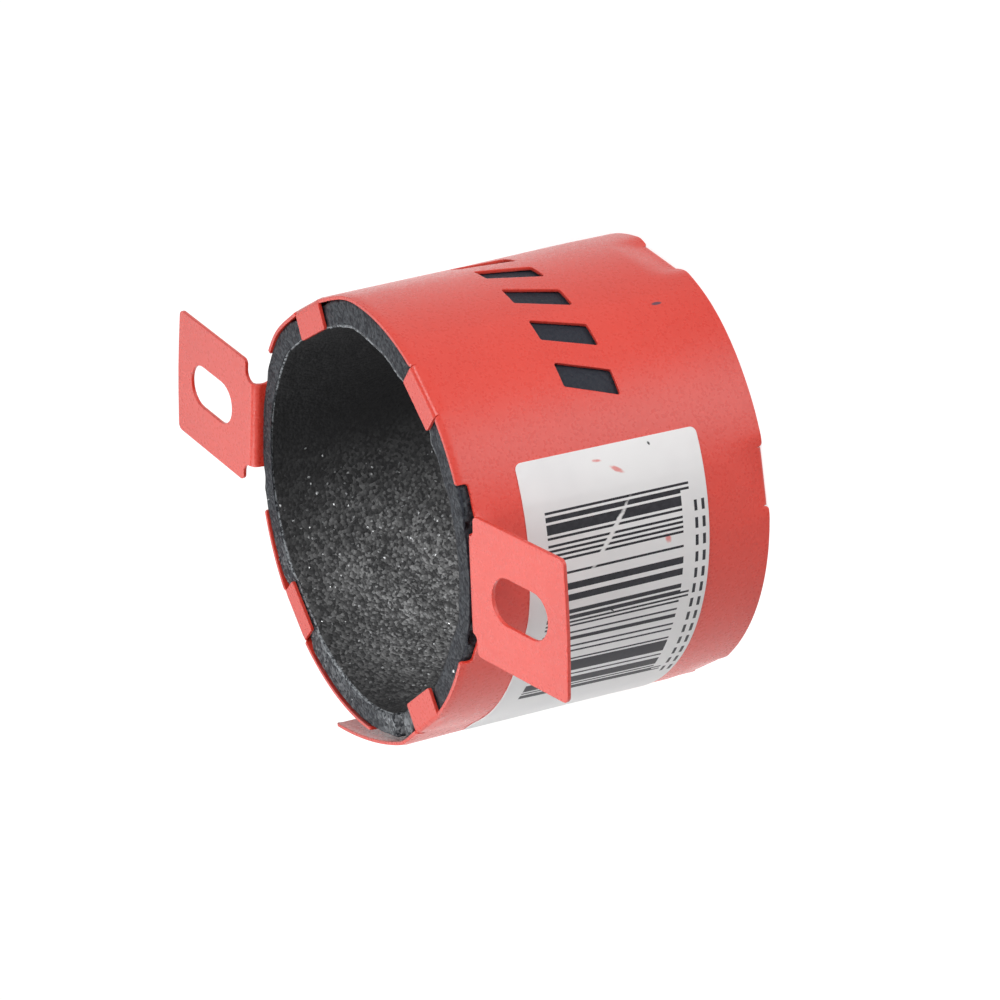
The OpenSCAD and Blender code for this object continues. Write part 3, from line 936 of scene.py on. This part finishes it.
def label_print():
    """White coated paper, scuffed, with a block of plain stripes across it and two rows of dashes behind."""
    finish = Finish("label_print")
    parts = finish.tree.nodes.new("ShaderNodeSeparateXYZ")
    finish.put(parts.inputs[0], finish.uv("print_map"))
    down, back = parts.outputs["X"], parts.outputs["Y"]
    fibres = finish.noise(0.5, 3.0, 0.6)
    stains = finish.noise(6.0, 3.0, 0.6)

    def within(value, low, high):
        """1 where the value lies between two lengths in millimetres."""
        above = finish.math("GREATER_THAN", value, low * MM)
        return finish.math("MULTIPLY", above, finish.math("LESS_THAN", value, high * MM))

    def spot(at_down, at_back, long, wide, slant):
        """A mark with frayed edges, 1 in its middle; all lengths in millimetres, the slant in degrees."""
        turn = math.radians(slant)
        aside = finish.math("SUBTRACT", down, at_down * MM)
        behind = finish.math("SUBTRACT", back, at_back * MM)
        along = finish.math("ADD", finish.math("MULTIPLY", aside, math.cos(turn)),
                            finish.math("MULTIPLY", behind, math.sin(turn)))
        across = finish.math("SUBTRACT", finish.math("MULTIPLY", behind, math.cos(turn)),
                             finish.math("MULTIPLY", aside, math.sin(turn)))
        far = finish.math("ADD", finish.math("POWER", finish.math("DIVIDE", along, long * MM), 2.0),
                          finish.math("POWER", finish.math("DIVIDE", across, wide * MM), 2.0))
        frayed = finish.math("ADD", far, finish.math("MULTIPLY", fibres, 1.6))
        return finish.ramp(frayed, 1.8, 0.9)

    def spots(*rows):
        """Several marks in one."""
        joined = spot(*rows[0])
        for row in rows[1:]:
            joined = finish.math("MAXIMUM", joined, spot(*row))
        return joined

    # Stripes of one or more steps across the label; the guards, counted from the middle one, reach further
    stripe, stripes, blank_share = 0.322 * MM, 95, 0.52
    guard_places = (1.0, 45.0, 47.0)
    first, near, far, guard_far = 6.7 * MM, 2.8 * MM, 22.5 * MM, 23.8 * MM
    place = finish.math("DIVIDE", finish.math("SUBTRACT", down, first), stripe)
    number = finish.math("FLOOR", place)
    chance = finish.add("TexWhiteNoise", number, noise_dimensions="1D")
    inked = finish.math("GREATER_THAN", chance, blank_share)
    middle = finish.math("ABSOLUTE", finish.math("SUBTRACT", number, (stripes - 1) / 2))
    guards = [finish.math("COMPARE", middle, offset, 0.1) for offset in guard_places]
    guard = finish.math("ADD", finish.math("ADD", guards[0], guards[1]), guards[2])
    reach = finish.math("ADD", far, finish.math("MULTIPLY", guard, guard_far - far))
    behind_near = finish.math("GREATER_THAN", back, near)
    block = finish.math("MULTIPLY", behind_near, finish.math("LESS_THAN", back, reach))
    block = finish.math("MULTIPLY", block, finish.math("LESS_THAN", middle, stripes / 2))
    inked = finish.math("MULTIPLY", finish.math("MAXIMUM", inked, guard), block)

    dash_pitch, dash_share = 2.3 * MM, 0.62
    step = finish.math("FRACT", finish.math("DIVIDE", down, dash_pitch))
    dashes = finish.math("MULTIPLY", finish.math("LESS_THAN", step, dash_share), within(down, 9.2, 38.6))
    dash_rows = finish.math("ADD", within(back, 24.3, 24.75), within(back, 25.4, 25.85))
    inked = finish.math("MAXIMUM", inked, finish.math("MULTIPLY", dashes, dash_rows))

    # Marks, each with its place down and back from the label's corner, half its length and width, and a slant
    scratch = spot(11.4, 11.8, 6.2, 0.42, -37.0)
    rubbed = spots((3.3, 14.0, 1.3, 0.35, 60.0), (13.4, 20.2, 0.8, 0.5, 20.0), (1.7, 11.3, 0.9, 0.25, 80.0))
    flecks = spots((0.95, 19.2, 0.35, 0.2, 30.0), (21.8, 12.3, 0.7, 0.15, 50.0))
    inked = finish.math("MULTIPLY", inked, finish.math("SUBTRACT", 1.0, scratch))
    inked = finish.math("MAXIMUM", inked, flecks)

    paper = finish.mix(finish.ramp(stains, 0.35, 0.75), (0.84, 0.84, 0.84, 1), (0.78, 0.78, 0.785, 1))
    paper = finish.mix(finish.math("MULTIPLY", rubbed, 0.75), paper, (0.72, 0.12, 0.10, 1))
    ink = finish.mix(finish.ramp(fibres, 0.35, 0.7), (0.006, 0.006, 0.010, 1), (0.018, 0.018, 0.024, 1))
    finish.set(Base_Color=finish.mix(inked, paper, ink), Specular_IOR_Level=0.3)
    finish.set(Roughness=finish.add("MapRange", fibres, 0.3, 0.7, 0.38, 0.5))
    finish.set(Normal=finish.bump(fibres, 0.02, 0.3))
    return finish.material


def dress(piece, material):
    """Gives a piece its one material."""
    piece.data.materials.clear()
    piece.data.materials.append(material)


# Glinting flakes in the liner's bore

def flake_tree():
    """Scatters small flat flakes over the faces, as many as their glints value asks for."""
    tree = bpy.data.node_groups.new("graphite_flakes", "GeometryNodeTree")
    sizes = ("Flakes per square metre", "Smallest", "Largest", "Flatness", "Tilt")
    sockets = [("Liner", "Geometry")] + [(name, "Float") for name in sizes]
    for name, kind in sockets + [("Seed", "Int"), ("Finish", "Material")]:
        tree.interface.new_socket(name, in_out="INPUT", socket_type="NodeSocket" + kind)
    tree.interface.new_socket("Flakes", in_out="OUTPUT", socket_type="NodeSocketGeometry")
    link = tree.links.new

    def node(kind, **settings):
        made = tree.nodes.new(kind)
        for name, value in settings.items():
            setattr(made, name, value)
        return made

    given = node("NodeGroupInput").outputs
    glints = node("GeometryNodeInputNamedAttribute", data_type="FLOAT")
    glints.inputs["Name"].default_value = "glints"
    density = node("ShaderNodeMath", operation="MULTIPLY")
    link(given["Flakes per square metre"], density.inputs[0])
    link(glints.outputs["Attribute"], density.inputs[1])
    spread = node("GeometryNodeDistributePointsOnFaces")
    link(given["Liner"], spread.inputs["Mesh"])
    link(density.outputs[0], spread.inputs["Density"])
    link(given["Seed"], spread.inputs["Seed"])
    flake = node("GeometryNodeMeshIcoSphere")
    flake.inputs["Subdivisions"].default_value = 1
    flake.inputs["Radius"].default_value = 1
    tilt = node("FunctionNodeRandomValue", data_type="FLOAT_VECTOR")
    back = node("ShaderNodeMath", operation="MULTIPLY")
    back.inputs[1].default_value = -1
    link(given["Tilt"], back.inputs[0])
    link(back.outputs[0], tilt.inputs["Min"])
    link(given["Tilt"], tilt.inputs["Max"])
    link(given["Seed"], tilt.inputs["Seed"])
    turn = node("FunctionNodeEulerToRotation")
    link(tilt.outputs["Value"], turn.inputs["Euler"])
    turned = node("FunctionNodeRotateRotation", rotation_space="LOCAL")
    link(spread.outputs["Rotation"], turned.inputs["Rotation"])
    link(turn.outputs["Rotation"], turned.inputs["Rotate By"])
    width = node("FunctionNodeRandomValue", data_type="FLOAT")
    link(given["Smallest"], width.inputs[2])
    link(given["Largest"], width.inputs[3])
    link(given["Seed"], width.inputs["Seed"])
    thickness = node("ShaderNodeMath", operation="MULTIPLY")
    link(width.outputs[1], thickness.inputs[0])
    link(given["Flatness"], thickness.inputs[1])
    size = node("ShaderNodeCombineXYZ")
    link(width.outputs[1], size.inputs["X"])
    link(width.outputs[1], size.inputs["Y"])
    link(thickness.outputs[0], size.inputs["Z"])
    placed = node("GeometryNodeInstanceOnPoints")
    link(spread.outputs["Points"], placed.inputs["Points"])
    link(flake.outputs["Mesh"], placed.inputs["Instance"])
    link(turned.outputs["Rotation"], placed.inputs["Rotation"])
    link(size.outputs[0], placed.inputs["Scale"])
    real = node("GeometryNodeRealizeInstances")
    link(placed.outputs["Instances"], real.inputs["Geometry"])
    finished = node("GeometryNodeSetMaterial")
    link(real.outputs["Geometry"], finished.inputs["Geometry"])
    link(given["Finish"], finished.inputs["Material"])
    link(finished.outputs["Geometry"], node("NodeGroupOutput").inputs["Flakes"])
    return tree


def scatter_flakes(liner, material):
    """The flakes of the liner's bore, as one plain mesh."""
    carrier = add_object("flake_carrier", liner.data)
    tree = flake_tree()
    modifier = carrier.modifiers.new("flakes", "NODES")
    modifier.node_group = tree
    names = {item.name: item.identifier for item in tree.interface.items_tree if item.in_out == "INPUT"}
    values = {"Flakes per square metre": 1.1e6, "Smallest": 0.08 * MM, "Largest": 0.27 * MM, "Flatness": 0.22,
              "Tilt": 0.7, "Seed": SEED, "Finish": material}
    for name, value in values.items():
        modifier[names[name]] = value
    seen = carrier.evaluated_get(bpy.context.evaluated_depsgraph_get())
    mesh = bpy.data.meshes.new_from_object(seen)
    bpy.data.objects.remove(carrier)
    mesh.name = "graphite_flakes"
    return add_object("graphite_flakes", mesh)


label = make_label()
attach(label, "root")
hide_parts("label")

liner = make_liner()
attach(liner, "root")
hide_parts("liner")

flakes = scatter_flakes(liner, graphite_glint())
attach(flakes, "root")

dress(sleeve, red_powder_coat())
dress(label, label_print())
dress(liner, graphite_felt())


# Camera, at the photograph's viewing angle: it is turned on its side, so the upright collar lies down

def make_camera():
    eye = Vector((365.0, 179.9, 231.0)) * MM
    ahead = Vector((-0.7965, -0.3965, -0.4555)).normalized()
    image_up = Vector((-0.3479, 0.9179, -0.1912))
    sensor_width = 36
    focal_length_in_widths = 3.448
    data = bpy.data.cameras.new("camera")
    data.sensor_width = sensor_width
    data.lens = sensor_width * focal_length_in_widths
    data.clip_start = 0.01
    data.clip_end = 20
    across = ahead.cross(image_up).normalized()
    turn = Matrix((across, across.cross(ahead), -ahead)).transposed()
    camera = add_object("camera", data)
    camera.matrix_world = Matrix.Translation(eye) @ turn.to_4x4()
    bpy.context.scene.camera = camera


# Studio: soft lamps, a dim world and a white floor under the rear rim, which lets the lamps below it shine
# through like a light table. Each lamp has its place, the point that it shines at and its width, all in
# metres, and its power in watts

COLLAR_MIDDLE = (0, 0, 0.02)
LAMPS = {
    "top_front": ((0.12, 0.4, 0.28), COLLAR_MIDDLE, 0.3, 1.32),
    "back_right": ((0.354, 0.36, -0.304), COLLAR_MIDDLE, 0.3, 1.2),
    "near_back": ((0.147, 0.147, -0.057), (0.02, 0.015, 0.035), 0.1, 0.03),
    "near_right": ((0.15, 0.06, 0.252), (0.01, 0, 0.03), 0.15, 0.21),
    "low_front": ((0.04, -0.281, 0.281), COLLAR_MIDDLE, 0.25, 1.05),
    "left_sheen": ((-0.53, -0.315, 0.67), COLLAR_MIDDLE, 0.4, 1.0),
}


def seen_straight(tree):
    """1 for rays from the camera, also by way of gloss or glass."""
    path = tree.nodes.new("ShaderNodeLightPath")
    seen = path.outputs["Is Camera Ray"]
    for kind in ("Is Glossy Ray", "Is Transmission Ray"):
        either = tree.nodes.new("ShaderNodeMath")
        either.operation = "MAXIMUM"
        tree.links.new(seen, either.inputs[0])
        tree.links.new(path.outputs[kind], either.inputs[1])
        seen = either.outputs[0]
    return seen


def mixed_shader(tree, share, first, second):
    """The first shader, with a share of the second."""
    choice = tree.nodes.new("ShaderNodeMixShader")
    for socket, value in zip(choice.inputs, (share, first, second)):
        tree.links.new(value, socket)
    return choice.outputs[0]


def make_world():
    """A dim world that is seen as white."""
    world = bpy.data.worlds.new("studio")
    world.use_nodes = True
    bpy.context.scene.world = world
    tree = world.node_tree
    plain = tree.nodes["Background"]
    plain.inputs["Color"].default_value = (1.0, 0.99, 0.985, 1)
    plain.inputs["Strength"].default_value = 0.04
    white = tree.nodes.new("ShaderNodeBackground")
    white.inputs["Color"].default_value = (1, 1, 1, 1)
    white.inputs["Strength"].default_value = 1.0
    choice = mixed_shader(tree, seen_straight(tree), plain.outputs[0], white.outputs[0])
    tree.links.new(choice, tree.nodes["World Output"].inputs["Surface"])


def make_floor():
    """A white floor with the object's shadow, clear for the light of the lamps below it."""
    half = 3.0
    low = REAR_Z * MM
    corners = [(-half, -half, low), (half, -half, low), (half, half, low), (-half, half, low)]
    mesh = bpy.data.meshes.new("floor")
    mesh.from_pydata(corners, [], [(0, 1, 2, 3)])
    floor = add_object("floor", mesh)
    material = bpy.data.materials.new("white_floor")
    material.use_nodes = True
    tree = material.node_tree
    tree.nodes.remove(tree.nodes["Principled BSDF"])
    pale = tree.nodes.new("ShaderNodeBsdfDiffuse")
    pale.inputs["Color"].default_value = (0.4, 0.4, 0.4, 1)
    white = tree.nodes.new("ShaderNodeBsdfDiffuse")
    white.inputs["Color"].default_value = (0.42, 0.42, 0.42, 1)
    glow = tree.nodes.new("ShaderNodeEmission")
    glow.inputs["Strength"].default_value = 0.8
    both = tree.nodes.new("ShaderNodeAddShader")
    tree.links.new(white.outputs[0], both.inputs[0])
    tree.links.new(glow.outputs[0], both.inputs[1])
    solid = mixed_shader(tree, seen_straight(tree), pale.outputs[0], both.outputs[0])
    clear = tree.nodes.new("ShaderNodeBsdfTransparent")
    shadow_ray = tree.nodes.new("ShaderNodeLightPath").outputs["Is Shadow Ray"]
    passing = mixed_shader(tree, shadow_ray, solid, clear.outputs[0])
    tree.links.new(passing, tree.nodes["Material Output"].inputs["Surface"])
    mesh.materials.append(material)


def make_lamp(name, place, aim, size, power):
    """A square lamp that the camera doesn't see."""
    data = bpy.data.lights.new(name, "AREA")
    data.shape = "SQUARE"
    data.size = size
    data.energy = power
    lamp = add_object(name, data)
    lamp.location = place
    lamp.rotation_euler = (Vector(aim) - Vector(place)).to_track_quat("-Z", "Y").to_euler()
    lamp.visible_camera = False


make_camera()
make_world()
make_floor()
for lamp_name, lamp_settings in LAMPS.items():
    make_lamp(lamp_name, *lamp_settings)
bpy.context.scene.view_settings.view_transform = "Standard"
